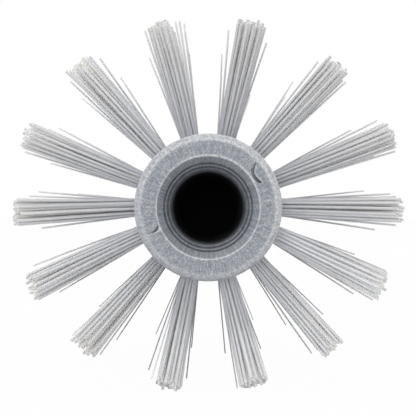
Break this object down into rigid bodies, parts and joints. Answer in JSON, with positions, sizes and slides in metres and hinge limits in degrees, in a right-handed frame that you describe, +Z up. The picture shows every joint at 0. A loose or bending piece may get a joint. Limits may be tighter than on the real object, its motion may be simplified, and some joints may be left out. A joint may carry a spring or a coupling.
{
  "type": "pipe and valve brush head",
  "caption": "Round brush head for pipes and valves: a plastic block with a threaded handle socket in one end and stiff filament tufts standing out all round.",
  "frame": {"origin": "bottom centre of the brush lying on its side: under the middle of the block, on the plane that the lowest tuft tips rest on", "axes": "+Y along the block's axis from the socket end to the closed end, so the socket faces -Y; +Z up; +X to the right as seen looking into the socket"},
  "size_m": [0.089, 0.127, 0.0848],
  "materials": {
    "block_plastic": "satin moulded grey plastic",
    "filament": "semi-translucent grey polyester filament",
    "anchor_steel": "drawn stainless wire"
  },
  "bodies": {
    "root": {"core_block": "block_plastic", "bristles_right": "filament", "bristles_top": "filament", "bristles_left": "filament", "bristles_bottom": "filament", "anchor_wire_01": "anchor_steel", "anchor_wire_02": "anchor_steel", "anchor_wire_03": "anchor_steel", "anchor_wire_04": "anchor_steel", "anchor_wire_05": "anchor_steel", "anchor_wire_06": "anchor_steel", "anchor_wire_07": "anchor_steel", "anchor_wire_08": "anchor_steel", "anchor_wire_09": "anchor_steel", "anchor_wire_10": "anchor_steel", "anchor_wire_11": "anchor_steel", "anchor_wire_12": "anchor_steel", "anchor_wire_13": "anchor_steel", "anchor_wire_14": "anchor_steel"}
  },
  "joints": []
}
